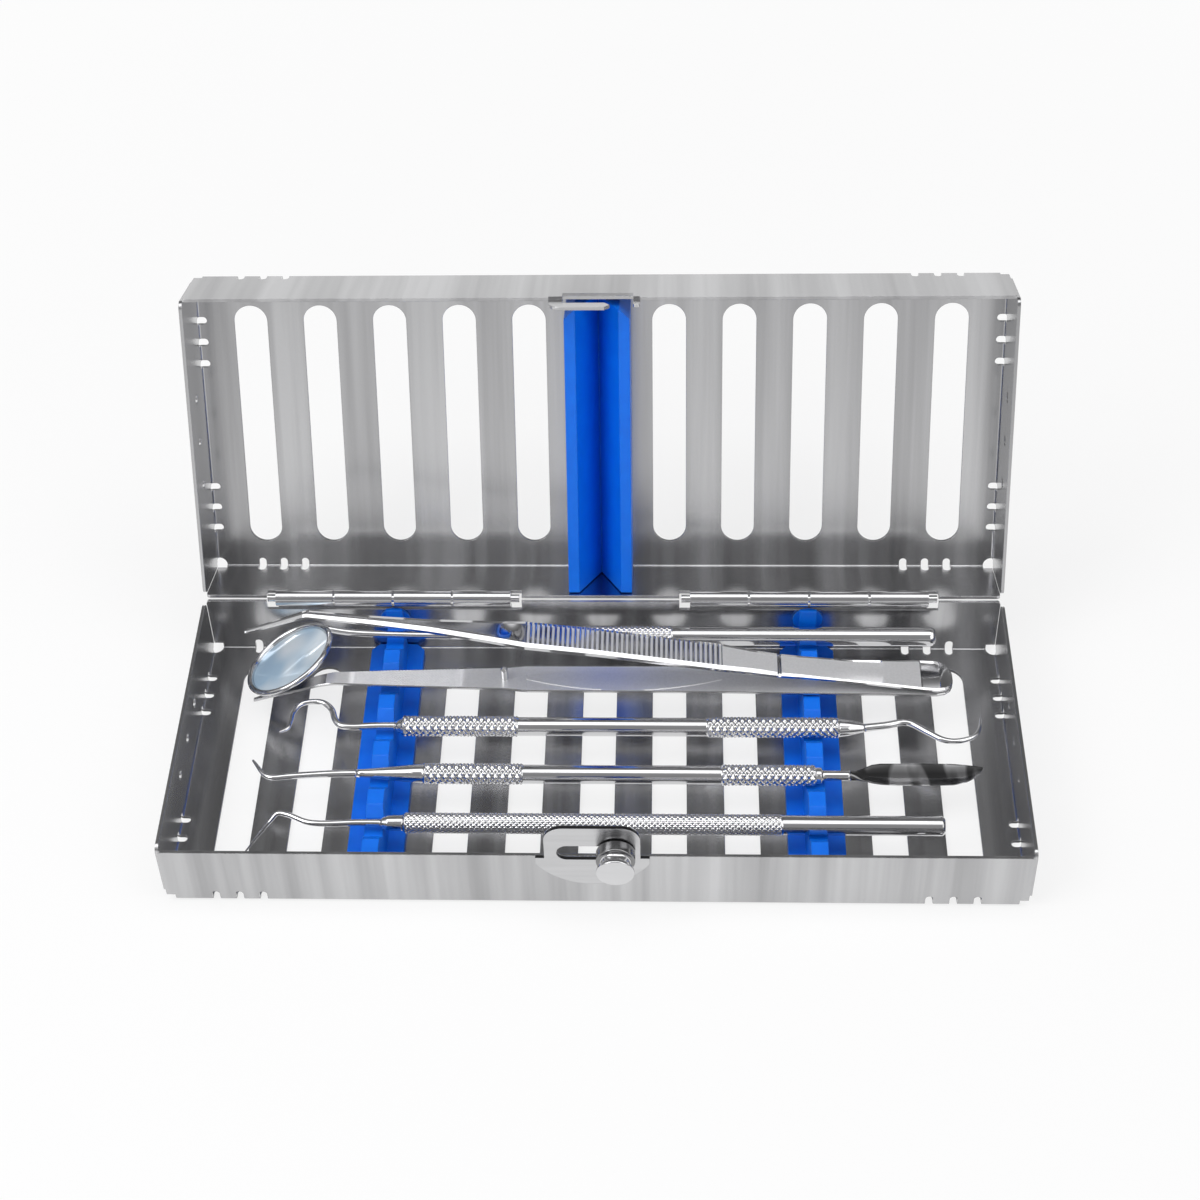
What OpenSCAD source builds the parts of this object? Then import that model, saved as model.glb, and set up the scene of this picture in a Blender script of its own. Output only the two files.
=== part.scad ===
// Dental instrument cassette, open, holding five hand instruments.
// Millimetres. X runs to the right, Y to the rear, Z up.
// The origin is the middle of the base, on the plane it stands on.
// The front is the side with the latch; the lid is drawn open, as it rests.

/* [Trays] */
// Outside width of both trays, left to right
cassette_w = 203; // [200:0.5:215]
// Outside depth of the base, front to rear
cassette_d = 80.5; // [80:0.25:84]
// Height of the base's walls above its underside
wall_h = 18; // [17.5:0.25:20]
// Height of the lid's walls
lid_wall_h = 18.9; // [18.5:0.1:22]
// Thickness of the folded steel sheet
sheet_t = 0.8; // [0.7:0.05:1.0]
// Outside radius of the folds
bend_r = 1.2; // [1.1:0.05:1.6]
// Angle the lid has been opened from its shut position
lid_open = 111; // [95:1:111]

/* [Openings] */
// Width of a long slot
slot_w = 8.4; // [7:0.1:9]
// Distance from a slot's end to the tray's outer face
slot_inset = 7.8; // [7:0.1:9]
// Width of the short slots across the folds
notch_w = 1.9; // [1.2:0.1:2.2]
// Diameter of the small round holes in the end walls
side_hole_d = 2.7; // [2:0.1:3.2]

/* [Hinges] */
// Distance of each hinge's middle from the tray's end
hinge_inset = 48.9; // [44:0.1:52]
// Length of one knuckle
knuckle_len = 14.5; // [13:0.1:14.7]
// Distance from one knuckle to the next
knuckle_pitch = 15.1; // [15.1:0.05:15.5]
// Outside diameter of the knuckles
barrel_d = 4.2; // [3.8:0.1:4.4]
// Diameter of the hinge pins
pin_d = 2; // [1.8:0.1:2.2]

/* [Latch] */
// Distance the knob slides from open to locked
latch_travel = 11.2; // [9:0.1:11.2]
// Diameter of the knob's flange
knob_d = 9; // [8:0.1:9.4]
// Length of the knob in front of the plate
knob_len = 6.1; // [5.5:0.1:8]

/* [Rails] */
// Width of the rail's flat strip
strip_w = 13.6; // [11:0.1:14.5]
// Height of the rail's teeth above the underside
tooth_top = 11.5; // [11:0.1:11.6]
// Width of the lid's rail
lid_rail_w = 16; // [15:0.1:17]

/* [Instruments] */
// Diameter of the knurled parts of the handles
grip_d = 5; // [4.6:0.1:5.1]
// Diameter of the mirror's head
mirror_d = 25; // [22:0.1:25]
// Number of grip ribs on each tweezers arm
rib_count = 40; // [10:1:40]

/* [Hidden] */
$fn = 48;
cut = 1;
body_gap = 0.3;
touch = 0.02;

// Trays
half_w = cassette_w / 2;
half_d = cassette_d / 2;
end_wall_len = cassette_d - 2 * sheet_t - 2 * body_gap;
long_wall_len = cassette_w - 2 * sheet_t;
edge_gap = 0.85;
axis_y = half_d - sheet_t / 2;
axis_z = wall_h + edge_gap;
lid_setback = 0.3;
lid_d = cassette_d - lid_setback;
lid_shift_y = lid_setback / 2;
lid_edge_z = axis_z + edge_gap;
lid_top_z = lid_edge_z + lid_wall_h;
lid_front_y = -half_d + lid_setback;
lid_floor_z = lid_top_z - sheet_t;
long_wall_corner_r = 1;
end_wall_corner_r = 1.8;
low_corner_r = 2.7;
fold_setback = 1;
fold_tongue = 2;

// Openings in the floor, folds and walls
slots_each_side = 5;
slot_count = 2 * slots_each_side + 1;
slot_margin = 10.5;
slot_pitch = (cassette_w - slot_margin) / slot_count;
notch_first = 11.7;
notch_pitch = 5.75;
notch_reach = 2.9;
end_notch_rise = 2.7;
long_notch_rise = 3.5;
long_notch_inset = 23.7;
long_notch_x = half_w - long_notch_inset;
long_notch_pitch = 5.6;
relief_r = 2;
relief_x = half_w - 1.1;
relief_y = half_d - 0.95;
relief_h = 2.2;
side_hole_z = 10.3;
side_hole_pitch = 11.5;
side_hole_y = 0.5;
lid_side_hole_z = lid_top_z - 10.7;

// Hinges
hinge_x = half_w - hinge_inset;
barrel_r = barrel_d / 2;
pin_r = pin_d / 2;
pin_fit = 0.05;
pin_overhang = 2.2;
knuckle_count = 4;
hinge_len = (knuckle_count - 1) * knuckle_pitch + knuckle_len;
pin_clear = 0.5;
hinge_cut_len = hinge_len + 2 * (pin_overhang + pin_clear);
hinge_cut_drop = 3.75;
leaf_t = 0.8;
leaf_h = 10.4;
leaf_clear = 3.25;
tab_reach = 1.2;

// Latch
plate_t = 1;
plate_top_z = 29.4;
plate_neck_x = 11;
plate_shoulder_r = 4.4;
plate_foot_x = 13.1;
plate_step_z = 18.5;
plate_bottom_z = 8.9;
plate_bottom_r = 15.1;
latch_slot_r = 2.5;
latch_slot_z = 20.5;
latch_slot_left = -8.2;
latch_slot_right = 7.8;
knob_x = 5.4;
knob_z = 21.2;
shaft_r = 1.5;
knob_y = -half_d - plate_t - body_gap;
flange_len = 2.8;
knob_neck_r = 3.35;
knob_face_r = 4.35;
knob_face_len = 1.05;
knob_edge = 0.25;
knob_head_r = 2.9;
knob_head_t = 0.8;
hook_y = lid_front_y + sheet_t;
knob_head_y = hook_y + sheet_t + body_gap;
hook_left = -11.5;
hook_right = 10.6;
hook_bar_low = 14.8;
hook_bar_high = 18.2;
hook_bar_end = 3.3;
hook_bar_shoulder = 2;
hook_mouth_left = -8.2;
hook_mouth_right = 8.9;
hook_mouth_z = 23.1;
hook_top = 27.5;
hook_stub_z = 17.6;
hook_step = 1;

// Instrument rails
rail_slot = 3;
rail_x = rail_slot * slot_pitch;
strip_t = 1.5;
strip_end = half_d - sheet_t - body_gap;
strip_corner = 2;
rib_top_w = 4;
rib_low_w = 5.5;
row_margin = 6;
row_count = 5;
row_pitch = (cassette_d - row_margin) / row_count;
row_y = 4.2;
row_z = 11;
seat_floor = 8.3;
seat_shoulder = 9.2;
seat_low = 2.65;
tooth_half = 2.2;
seat_high = row_pitch / 2 - tooth_half;
rib_back = half_d - 2.45;
rib_front = -half_d + 1.35;
tab_w = 4.3;
tab_t = 0.9;
tab_top = 16.2;
button_r = 3.75;
button_t = 0.65;
button_z = 12.2;
foot_gap = 0.1;
foot_len = 8;
foot_pitch = 23;

// Lid rail, in the shut lid's place
crest_z = 20.9;
valley_h = 12.4;
valley_half = 5.3;
lid_rail_setback = 3.85;
lid_rail_front = -half_d + lid_rail_setback;
lid_rail_chamfer = 2.5;

// Instruments: the distances along X below are for a cassette of the usual width
usual_w = 203;
reach = cassette_w / usual_w;
grip_r = grip_d / 2;
barrel_smooth_r = grip_r - 0.15;
end_bevel = 0.5;
joint_swell = 1.14;
straight_limit = 0.3;
mirror_row_y = row_y + 2 * row_pitch;
mirror_row_z = 11.2;
mirror_grip_r = grip_r + 0.15;
mirror_head_x = -78;
mirror_head_dy = -8.8;
mirror_head_z = 11.7;
mirror_centre = [reach * mirror_head_x, mirror_row_y + mirror_head_dy, mirror_head_z];
mirror_lean = 28.7;
mirror_turn = 163.3;
mirror_r = mirror_d / 2;
mirror_half_t = 1;
glass_low = -0.2;
glass_inset = 1.5;
glass_t = 0.4;
tweezers_from_mirror = 15.9;
tweezers_y = mirror_row_y - tweezers_from_mirror;
arm_low = 11.9;
arm_t = 1.2;
rib_first_x = -17.6 * reach;
rib_last_x = 30.5 * reach;
rib_w = 0.55;
rib_depth = 0.25;
guide_x = -23.4 * reach;
guide_r = 0.9;
guide_h = 3.2;
guide_tip_h = 0.9;
carver_y = row_y - row_pitch;
explorer_y = row_y - 2 * row_pitch;
blade_len = 31;
blade_w = 6.5;
blade_t = 1.6;
blade_edge = 0.5;
blade_turn = 5;
blade_neck_r = 1.2;

// One row per point of a bent wire: x, y from its handle's line, z, and the radius there
mirror_wire = [
    [-28, 0, mirror_row_z, 1.15],
    [-30, 0, mirror_row_z, 1.1],
    [-66, 0, 12.6, 0.9],
    [-71, 0.9, 14.1, 0.9]];
scaler_left_wire = [
    [-49.8, 0, row_z, 1],
    [-52, 0, row_z, 0.95],
    [-62.1, -0.1, row_z, 0.85],
    [-64.5, 1.2, row_z, 0.8],
    [-66.4, 5.7, row_z, 0.75],
    [-69.1, 7.5, row_z, 0.7],
    [-73.6, 7, row_z, 0.65],
    [-75.5, 4.4, row_z, 0.6],
    [-76.1, -0.8, row_z, 0.5],
    [-77.9, -2.1, row_z, 0.3]];
scaler_right_wire = [
    [65, 0, row_z, 1],
    [67, 0, row_z, 0.95],
    [74.8, 2, row_z, 0.85],
    [84, -3.9, row_z, 0.75],
    [87.6, -3.9, row_z, 0.7],
    [91.3, -2.6, row_z, 0.6],
    [93.3, 3.4, row_z, 0.3]];
carver_wire = [
    [-57.9, 0, row_z, 0.95],
    [-61, 0, row_z, 0.92],
    [-77.2, -1.3, row_z, 0.76],
    [-80, -0.5, row_z, 0.66],
    [-83.4, 3.7, row_z, 0.3]];
explorer_wire = [
    [-50.7, 0, row_z, 0.9],
    [-53, 0, row_z, 0.85],
    [-66.9, -0.4, row_z, 0.75],
    [-74.9, 2.8, row_z, 0.65],
    [-76.6, 1.6, 10.2, 0.55],
    [-83.5, -2.8, 3.2, 0.2]];
blade_start = 60.6;
explorer_end = 81.9;

// Half outline of a handle: distance along X and radius
mirror_outline = [
    [-28, 0], [-28, 1.15], [-20, mirror_grip_r - 0.15], [-17.9, mirror_grip_r - 0.15],
    [-17.9, mirror_grip_r], [18.1, mirror_grip_r], [18.1, mirror_grip_r - 0.15],
    [82.6, mirror_grip_r - 0.15], [84, 1.9], [84.7, 0.9], [84.7, 0]];
scaler_outline = [
    [-49.8, 0], [-49.8, 1], [-47.8, barrel_smooth_r], [-47.8, grip_r], [-19.8, grip_r],
    [-19.8, barrel_smooth_r], [26.9, barrel_smooth_r], [26.9, grip_r], [58.5, grip_r],
    [58.5, barrel_smooth_r], [65, 1], [65, 0]];
carver_outline = [
    [-57.9, 0], [-57.9, 0.95], [-41.3, barrel_smooth_r], [-41.3, grip_r], [-17.9, grip_r],
    [-17.9, barrel_smooth_r], [30.1, barrel_smooth_r], [30.1, grip_r], [52.3, grip_r],
    [52.3, 2], [53.9, 2], [53.9, blade_neck_r], [blade_start, blade_neck_r], [blade_start, 0]];
explorer_outline = [
    [-45.3, 0], [-45.3, 2], [-44.8, grip_r], [43.9, grip_r], [43.9, barrel_smooth_r],
    [explorer_end - end_bevel, barrel_smooth_r],
    [explorer_end, barrel_smooth_r - end_bevel], [explorer_end, 0]];
collar_outline = [
    [-50.7, 0], [-50.7, 0.9], [-49.2, 1.7], [-46.6, 1.9], [-45.3, 1.9], [-45.3, 0]];

// Side view of the tweezers' arms: x and height
upper_arm_top = [[-86.4, 30.1], [-70.8, 36.8], [-45, 33.4], [-17.6, 29.7], [0, 27.1],
    [30.5, 21.7], [44.5, 18.7], [62, 16.4], [84, 14.6], [87.2, 14.4]];
upper_arm_under = [[87.2, 13.4], [84, 13.4], [62, 15.4], [44.5, 17.3], [30.5, 20],
    [0, 25.4], [-17.6, 28], [-45, 31.9], [-70.6, 35.6], [-86.2, 29.3]];
lower_arm_side = [[-87.3, 3.9], [-69.8, 11], [-66, arm_low], [87.2, arm_low],
    [87.2, arm_low + arm_t], [-66.4, arm_low + arm_t], [-70.3, 12.1], [-87.6, 4.7]];
// Half outlines of the arms from above: x and half width
upper_half_plan = [[-86.6, 0.5], [-70.8, 1.1], [-55, 1.4], [-41, 2], [-26, 3.3], [-17.6, 4.2],
    [30.5, 4.2], [37, 3.8], [50, 3.5], [62, 3.6], [70, 4.1], [82.2, 5]];
lower_half_plan = [[-89.5, 0.6], [-75, 1.5], [-52, 2.6], [-23, 3.5], [-17.6, 4.1],
    [30.5, 4.2], [44.5, 4.5], [82.2, 5]];
butt_r = 5;
butt_x = 82.2;
arm_span = 200;

steel = [0.78, 0.78, 0.8];
polished = [0.88, 0.88, 0.9];
silicone = [0.24, 0.3, 0.55];
glass_tint = [0.6, 0.7, 0.85];

// Places a drawing of x and z as a plate standing from y0 towards the rear
module upright_plate(y0, thickness) {
    translate([0, y0 + thickness, 0])
        rotate([90, 0, 0])
            linear_extrude(thickness)
                children();
}

// Places a drawing of y and z as a plate standing from x0 towards the right
module end_plate(x0, thickness) {
    translate([x0, 0, 0])
        rotate([90, 0, 90])
            linear_extrude(thickness)
                children();
}

// Turns a shut lid's piece to where it rests
module opened() {
    translate([0, axis_y, axis_z])
        rotate([-lid_open, 0, 0])
            translate([0, -axis_y, -axis_z])
                children();
}

// A wall's outline: square below, rounded corners above
module wall_outline(len, low, high, r) {
    translate([-len / 2, low])
        square([len, high - low - r]);
    translate([-len / 2 + r, low])
        square([len - 2 * r, high - low]);
    for (s = [-1, 1])
        translate([s * (len / 2 - r), high - r])
            circle(r);
}

// The fold between the floor and a wall, along X, with a tongue into each of them
module fold(len) {
    rotate([90, 0, 90])
        linear_extrude(len - 2 * fold_setback, center = true) {
            difference() {
                translate([bend_r, bend_r])
                    circle(bend_r);
                translate([bend_r, bend_r])
                    circle(bend_r - sheet_t);
                translate([bend_r, 0])
                    square([bend_r + cut, 2 * bend_r + cut]);
                translate([-cut, bend_r])
                    square([bend_r + 2 * cut, bend_r + cut]);
            }
            translate([bend_r - touch, 0])
                square([fold_tongue, sheet_t]);
            translate([0, bend_r - touch])
                square([sheet_t, fold_tongue]);
        }
}

// Tool for one long slot through the floor, rounded at both ends
module slot_tool(depth) {
    run = depth / 2 - slot_inset - slot_w / 2;
    translate([-slot_w / 2, -run, -cut])
        cube([slot_w, 2 * run, sheet_t + 2 * cut]);
    for (s = [-1, 1])
        translate([0, s * run, -cut])
            cylinder(d = slot_w, h = sheet_t + 2 * cut);
}

// Tool for one short slot across a fold; the wall's outer face is at x = 0
module notch_tool(rise) {
    r = notch_w / 2;
    translate([-notch_reach + r, 0, -cut])
        cylinder(r = r, h = sheet_t + 2 * cut);
    translate([-notch_reach + r, -r, -cut])
        cube([notch_reach - r + cut, notch_w, rise - r + cut]);
    translate([-bend_r, 0, rise - r])
        rotate([0, 90, 0])
            cylinder(r = r, h = bend_r + cut);
}

// Tool that rounds a long wall's low corner
module low_corner_tool() {
    difference() {
        translate([0, -cut, -cut])
            cube([low_corner_r + cut, bend_r + 2 * cut, low_corner_r + cut]);
        translate([0, -2 * cut, low_corner_r])
            rotate([-90, 0, 0])
                cylinder(r = low_corner_r, h = bend_r + 4 * cut);
    }
}

// A folded tray with its floor on z = 0 and its walls standing up
module tray(depth, height, hole_z) {
    half = depth / 2;
    difference() {
        union() {
            translate([-half_w + bend_r, -half + bend_r, 0])
                cube([cassette_w - 2 * bend_r, depth - 2 * bend_r, sheet_t]);
            for (s = [0, 1])
                mirror([0, s, 0])
                    translate([0, -half, 0]) {
                        fold(long_wall_len);
                        upright_plate(0, sheet_t)
                            wall_outline(long_wall_len, bend_r, height, long_wall_corner_r);
                    }
            for (s = [0, 1])
                mirror([s, 0, 0]) {
                    translate([half_w, 0, 0])
                        rotate([0, 0, 90])
                            fold(end_wall_len);
                    end_plate(half_w - sheet_t, sheet_t)
                        wall_outline(end_wall_len, bend_r, height, end_wall_corner_r);
                }
        }
        for (k = [-slots_each_side:slots_each_side])
            translate([k * slot_pitch, 0, 0])
                slot_tool(depth);
        for (sx = [0, 1], sy = [0, 1])
            mirror([sx, 0, 0])
                mirror([0, sy, 0]) {
                    for (i = [0:2]) {
                        translate([half_w, half - notch_first - i * notch_pitch, 0])
                            notch_tool(end_notch_rise);
                        translate([long_notch_x + i * long_notch_pitch, half, 0])
                            rotate([0, 0, 90])
                                notch_tool(long_notch_rise);
                    }
                    translate([relief_x, relief_y + half - half_d, -cut])
                        cylinder(r = relief_r, h = relief_h + cut);
                    translate([long_wall_len / 2 - low_corner_r, half - bend_r, 0])
                        low_corner_tool();
                }
        for (i = [-1:1])
            translate([0, side_hole_y + i * side_hole_pitch, hole_z])
                rotate([0, 90, 0])
                    cylinder(d = side_hole_d, h = cassette_w + 2 * cut, center = true);
    }
}

// Tool that clears a long wall's edge behind both hinges
module hinge_clearance(edge_z, top_z) {
    for (s = [-1, 1])
        translate([s * hinge_x - hinge_cut_len / 2, half_d - bend_r - sheet_t, edge_z])
            cube([hinge_cut_len, bend_r + sheet_t + cut, top_z - edge_z]);
}

// The lower tray
module base_tray() {
    color(steel)
        difference() {
            tray(cassette_d, wall_h, side_hole_z);
            hinge_clearance(axis_z - hinge_cut_drop, wall_h + cut);
        }
}

// The upper tray: the same folded tray, turned over
module lid_tray() {
    color(steel)
        opened()
            difference() {
                translate([0, lid_shift_y, lid_top_z])
                    mirror([0, 0, 1])
                        tray(lid_d, lid_wall_h, lid_top_z - lid_side_hole_z);
                hinge_clearance(lid_edge_z - cut, axis_z + hinge_cut_drop);
                translate([hook_mouth_left, lid_front_y - cut, lid_edge_z - cut])
                    cube([hook_mouth_right - hook_mouth_left, sheet_t + 2 * cut,
                        hook_mouth_z - lid_edge_z + cut]);
                translate([hook_left, lid_front_y - cut, lid_edge_z - cut])
                    cube([hook_right - hook_left, sheet_t + 2 * cut, hook_step + cut]);
            }
}

// A hinge leaf: a plate under the knuckles and a tab up to each of two of them
module leaf(centre_x, first) {
    difference() {
        union() {
            translate([centre_x - hinge_len / 2, half_d, axis_z - leaf_clear - leaf_h])
                cube([hinge_len, leaf_t, leaf_h]);
            for (i = [first:2:knuckle_count - 1]) {
                x = centre_x + (i - (knuckle_count - 1) / 2) * knuckle_pitch;
                translate([x - knuckle_len / 2, half_d, axis_z - leaf_clear - touch])
                    cube([knuckle_len, leaf_t, leaf_clear - tab_reach + touch]);
                translate([x, axis_y, axis_z])
                    rotate([0, 90, 0])
                        cylinder(r = barrel_r, h = knuckle_len, center = true);
            }
        }
        translate([centre_x, axis_y, axis_z])
            rotate([0, 90, 0])
                cylinder(r = pin_r + pin_fit, h = hinge_len + 2 * cut, center = true);
    }
}

// A lid leaf is a base leaf turned over about the hinge's line
module lid_leaf(centre_x, first) {
    opened()
        translate([0, 0, axis_z])
            mirror([0, 0, 1])
                translate([0, 0, -axis_z])
                    leaf(centre_x, first);
}

module hinge_leaf_base_left() {
    color(polished)
        leaf(-hinge_x, 0);
}

module hinge_leaf_base_right() {
    color(polished)
        leaf(hinge_x, 0);
}

module hinge_leaf_lid_left() {
    color(polished)
        lid_leaf(-hinge_x, 1);
}

module hinge_leaf_lid_right() {
    color(polished)
        lid_leaf(hinge_x, 1);
}

// A hinge pin, a little longer than its hinge
module pin(centre_x) {
    translate([centre_x, axis_y, axis_z])
        rotate([0, 90, 0])
            cylinder(r = pin_r, h = hinge_len + 2 * pin_overhang, center = true);
}

module hinge_pin_left() {
    color(polished)
        pin(-hinge_x);
}

module hinge_pin_right() {
    color(polished)
        pin(hinge_x);
}

// The latch plate's outline: a rounded head above a wider curved foot
module latch_outline() {
    for (s = [-1, 1])
        translate([s * (plate_neck_x - plate_shoulder_r), plate_top_z - plate_shoulder_r])
            circle(plate_shoulder_r);
    translate([-plate_neck_x + plate_shoulder_r, plate_step_z - cut])
        square([2 * (plate_neck_x - plate_shoulder_r), plate_top_z - plate_step_z + cut]);
    translate([-plate_neck_x, plate_step_z - cut])
        square([2 * plate_neck_x, plate_top_z - plate_shoulder_r - plate_step_z + cut]);
    intersection() {
        translate([0, plate_bottom_z + plate_bottom_r])
            circle(plate_bottom_r, $fn = 96);
        translate([-plate_foot_x, plate_bottom_z - cut])
            square([2 * plate_foot_x, plate_step_z - plate_bottom_z + cut]);
    }
}

// The slot the latch knob slides in
module latch_slot() {
    low = latch_slot_left + latch_slot_r;
    high = latch_slot_right - latch_slot_r;
    translate([low, latch_slot_z - latch_slot_r])
        square([high - low, 2 * latch_slot_r]);
    for (x = [low, high])
        translate([x, latch_slot_z])
            circle(latch_slot_r);
}

module latch_plate() {
    color(polished)
        difference() {
            upright_plate(-half_d - plate_t, plate_t)
                latch_outline();
            upright_plate(-half_d - plate_t - cut, plate_t + 2 * cut)
                latch_slot();
        }
}

// The knob: flange, neck, front face and the shaft through the slot
module latch_knob() {
    color(polished)
        translate([knob_x, knob_y, knob_z])
            rotate([90, 0, 0])
                rotate_extrude()
                    polygon([
                        [0, knob_y - knob_head_y],
                        [shaft_r, knob_y - knob_head_y],
                        [shaft_r, 0],
                        [knob_d / 2 - knob_edge, 0],
                        [knob_d / 2, knob_edge],
                        [knob_d / 2, flange_len - knob_edge],
                        [knob_d / 2 - knob_edge, flange_len],
                        [knob_neck_r, flange_len],
                        [knob_neck_r, knob_len - knob_face_len],
                        [knob_face_r, knob_len - knob_face_len],
                        [knob_face_r, knob_len - knob_edge],
                        [knob_face_r - knob_edge, knob_len],
                        [0, knob_len]]);
}

// The head that keeps the knob's shaft in the slot from behind
module latch_knob_head() {
    color(polished)
        translate([knob_x, knob_head_y + knob_head_t, knob_z])
            rotate([90, 0, 0])
                cylinder(r = knob_head_r, h = knob_head_t);
}

// The hook on the lid that the knob's shaft locks under
module lid_hook() {
    color(polished)
        opened()
            upright_plate(hook_y, sheet_t) {
                translate([hook_left, hook_mouth_z])
                    square([hook_right - hook_left, hook_top - hook_mouth_z]);
                translate([hook_left, hook_bar_high])
                    square([hook_mouth_left - hook_left, hook_mouth_z - hook_bar_high + touch]);
                polygon([
                    [hook_left + hook_bar_high - hook_bar_low, hook_bar_low],
                    [hook_bar_shoulder, hook_bar_low],
                    [hook_bar_end, (hook_bar_low + hook_bar_high) / 2],
                    [hook_bar_shoulder, hook_bar_high + touch],
                    [hook_left + hook_bar_high - hook_bar_low, hook_bar_high + touch]]);
                intersection() {
                    translate([hook_left + hook_bar_high - hook_bar_low, hook_bar_high])
                        circle(hook_bar_high - hook_bar_low);
                    translate([hook_left, hook_bar_low])
                        square([hook_bar_high - hook_bar_low + touch,
                            hook_bar_high - hook_bar_low + touch]);
                }
                translate([hook_mouth_right, hook_stub_z])
                    square([hook_right - hook_mouth_right, hook_mouth_z - hook_stub_z + touch]);
                translate([(hook_mouth_right + hook_right) / 2, hook_stub_z])
                    circle((hook_right - hook_mouth_right) / 2);
            }
}

// A seat for one instrument, as a drawing of y and z
module seat_outline() {
    polygon([
        [-seat_low, seat_floor],
        [seat_low, seat_floor],
        [seat_low, seat_shoulder],
        [seat_high, tooth_top],
        [seat_high, tooth_top + cut],
        [-seat_high, tooth_top + cut],
        [-seat_high, tooth_top],
        [-seat_low, seat_shoulder]]);
}

// A silicone rail: strip, toothed rib, rear tab with its button, and feet
module rail(x) {
    translate([x, 0, 0]) {
        difference() {
            union() {
                translate([0, 0, sheet_t])
                    linear_extrude(strip_t)
                        polygon([
                            [-strip_w / 2, -strip_end],
                            [strip_w / 2, -strip_end],
                            [strip_w / 2, strip_end - strip_corner],
                            [strip_w / 2 - strip_corner, strip_end],
                            [-strip_w / 2 + strip_corner, strip_end],
                            [-strip_w / 2, strip_end - strip_corner]]);
                upright_plate(rib_front, rib_back - rib_front)
                    polygon([
                        [-rib_low_w / 2, sheet_t + touch],
                        [rib_low_w / 2, sheet_t + touch],
                        [rib_top_w / 2, tooth_top],
                        [-rib_top_w / 2, tooth_top]]);
            }
            for (k = [-2:2])
                end_plate(-strip_w / 2, strip_w)
                    translate([row_y + k * row_pitch, 0])
                        seat_outline();
        }
        translate([-tab_w / 2, rib_back - touch, sheet_t + touch])
            cube([tab_w, tab_t + touch, tab_top - sheet_t - touch]);
        translate([0, rib_back + tab_t + button_t, button_z])
            rotate([90, 0, 0])
                cylinder(r = button_r, h = button_t + touch);
        for (i = [-1:1])
            translate([-slot_w / 2 + foot_gap, i * foot_pitch - foot_len / 2, foot_gap])
                cube([slot_w - 2 * foot_gap, foot_len, sheet_t]);
    }
}

module rail_left() {
    color(silicone)
        rail(-rail_x);
}

module rail_right() {
    color(silicone)
        rail(rail_x);
}

// The lid's V-shaped rail, which holds the instruments down when shut
module lid_rail() {
    half = lid_rail_w / 2;
    back = half_d - sheet_t - body_gap;
    color(silicone)
        opened() {
            intersection() {
                upright_plate(lid_rail_front, back - lid_rail_front)
                    polygon([
                        [-half, crest_z],
                        [-valley_half, crest_z],
                        [0, crest_z + valley_h],
                        [valley_half, crest_z],
                        [half, crest_z],
                        [half, lid_floor_z],
                        [-half, lid_floor_z]]);
                translate([0, 0, crest_z - cut])
                    linear_extrude(lid_floor_z - crest_z + 2 * cut)
                        polygon([
                            [-half + lid_rail_chamfer, lid_rail_front],
                            [half - lid_rail_chamfer, lid_rail_front],
                            [half, lid_rail_front + lid_rail_chamfer],
                            [half, back],
                            [-half, back],
                            [-half, lid_rail_front + lid_rail_chamfer]]);
            }
            for (i = [-1:1])
                translate([-slot_w / 2 + foot_gap, i * foot_pitch - foot_len / 2,
                    lid_floor_z - foot_gap])
                    cube([slot_w - 2 * foot_gap, foot_len, sheet_t]);
        }
}

// A straight, tapering piece of wire between two points
module wire_piece(a, b) {
    d = [b[0] - a[0], b[1] - a[1], b[2] - a[2]];
    flat = norm([d[0], d[1]]);
    translate([a[0], a[1], a[2]])
        rotate([0, atan2(flat, d[2]), atan2(d[1], d[0])])
            cylinder(r1 = a[3], r2 = b[3], h = norm(d));
}

// Angle about Z of the outer side of a bend, where a ball's seam is out of the way
function outer_side(path, i) =
    let (
        here = path[i],
        from_last = unit_2d([path[i - 1][0] - here[0], path[i - 1][1] - here[1]]),
        to_next = i + 1 < len(path)
            ? unit_2d([path[i + 1][0] - here[0], path[i + 1][1] - here[1]])
            : from_last,
        both = from_last + to_next)
    norm(both) > straight_limit
        ? atan2(-both[1], -both[0])
        : atan2(from_last[0], -from_last[1]);

function unit_2d(v) = v / max(norm(v), touch);

// The same points with their distances along X fitted to the cassette's width
function along(points) =
    [for (p = points) [for (i = [0:len(p) - 1]) i == 0 ? p[i] * reach : p[i]]];

// A bent wire through a list of points, with a ball at every bend and at its end
module wire(points, line_y) {
    path = along(points);
    translate([0, line_y, 0]) {
        for (i = [0:len(path) - 2])
            wire_piece(path[i], path[i + 1]);
        for (i = [1:len(path) - 1])
            translate([path[i][0], path[i][1], path[i][2]])
                rotate([0, 0, outer_side(path, i)])
                    sphere(r = path[i][3] * joint_swell, $fn = 24);
    }
}

// A round handle along X from its half outline
module handle(y, z, outline) {
    translate([0, y, z])
        rotate([0, 90, 0])
            rotate_extrude()
                polygon([for (p = along(outline)) [p[1], p[0]]]);
}

// Stands the mirror's head where it lies, on the tweezers
module at_mirror() {
    translate(mirror_centre)
        rotate([0, mirror_lean, mirror_turn])
            children();
}

module mirror_handle() {
    color(polished)
        handle(mirror_row_y, mirror_row_z, mirror_outline);
}

module mirror_shank() {
    color(polished)
        difference() {
            wire(mirror_wire, mirror_row_y);
            at_mirror()
                cylinder(r = mirror_r, h = 4 * mirror_half_t, center = true);
        }
}

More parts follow.
